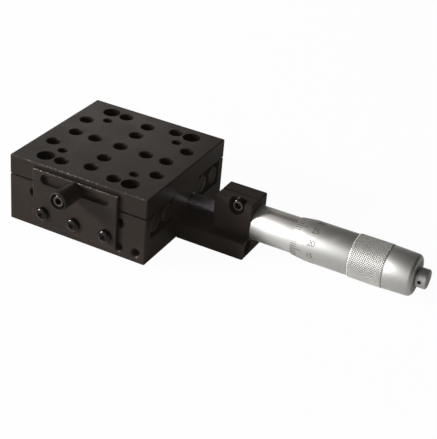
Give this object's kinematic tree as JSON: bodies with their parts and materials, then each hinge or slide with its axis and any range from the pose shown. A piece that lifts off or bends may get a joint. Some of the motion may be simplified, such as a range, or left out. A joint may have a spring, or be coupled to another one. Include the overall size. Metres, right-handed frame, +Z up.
{
  "type": "crossed-roller translation stage",
  "caption": "Small square linear stage: a drilled table on crossed-roller ways over a base, moved by a micrometer head on an end bracket, with a side locking plate.",
  "frame": {"origin": "centre of the base's underside", "axes": "+Z up through the table's top, +X along the travel towards the micrometer, -Y the side with the locking plate"},
  "size_m": [0.1694, 0.0783, 0.03],
  "materials": {
    "black_anodised": "machined and black anodised, satin",
    "rail_steel": "hardened and ground",
    "bright_screws": "plain stainless",
    "black_screws": "black oxide",
    "satin_chrome": "satin chrome",
    "polished_steel": "ground and polished",
    "cage_brass": "stamped sheet",
    "spring_steel": "drawn wire"
  },
  "bodies": {
    "base": {"base": "black_anodised", "outer_rail_front": "rail_steel", "outer_rail_rear": "rail_steel", "base_end_screws": "bright_screws", "base_rail_screws": "black_screws", "preload_screws": "black_screws", "locking_plate": "black_anodised", "plate_screws": "black_screws", "micrometer_bracket": "black_anodised", "bracket_screws": "black_screws", "clamp_screw": "bright_screws", "micrometer_body": "satin_chrome", "scale_sleeve": "satin_chrome", "adjusting_nut": "satin_chrome", "base_spring_pins": "rail_steel", "return_springs": "spring_steel"},
    "table": {"table": "black_anodised", "inner_rail_front": "rail_steel", "inner_rail_rear": "rail_steel", "table_end_screws": "bright_screws", "table_rail_screws": "black_screws", "anvil": "rail_steel", "table_spring_pins": "rail_steel"},
    "front_cage": {"roller_cage_front": "cage_brass", "rollers_front": "rail_steel"},
    "rear_cage": {"roller_cage_rear": "cage_brass", "rollers_rear": "rail_steel"},
    "spindle": {"spindle": "polished_steel"},
    "thimble": {"thimble": "satin_chrome", "thimble_cap": "satin_chrome", "end_screw": "satin_chrome"},
    "lock": {"lock_knob": "black_anodised", "lock_screw": "bright_screws"}
  },
  "joints": [
    {"name": "spindle_feed", "type": "slide", "parent": "base", "child": "spindle", "axis": [1, 0, 0], "range_m": [-0.0125, 0.0125]},
    {"name": "thimble_spin", "type": "hinge", "parent": "spindle", "child": "thimble", "pos_m": [0.1, 0.0061, 0.01215], "axis": [1, 0, 0], "range_deg": [-9000, 9000]},
    {"name": "table_slide", "type": "slide", "parent": "base", "child": "table", "axis": [1, 0, 0], "range_m": [-0.0125, 0.0125], "deforming": ["return_springs"]},
    {"name": "front_cage_slide", "type": "slide", "parent": "base", "child": "front_cage", "axis": [1, 0, 0], "range_m": [-0.00625, 0.00625]},
    {"name": "rear_cage_slide", "type": "slide", "parent": "base", "child": "rear_cage", "axis": [1, 0, 0], "range_m": [-0.00625, 0.00625]},
    {"name": "lock_turn", "type": "hinge", "parent": "table", "child": "lock", "pos_m": [0, -0.0385, 0.0247], "axis": [0, 1, 0], "range_deg": [-360, 144]}
  ],
  "couplings": [
    {"joint": "spindle_feed", "follows": "table_slide", "ratio": 1},
    {"joint": "thimble_spin", "follows": "table_slide", "rad_per_m": 12566},
    {"joint": "front_cage_slide", "follows": "table_slide", "ratio": 0.5},
    {"joint": "rear_cage_slide", "follows": "table_slide", "ratio": 0.5}
  ]
}
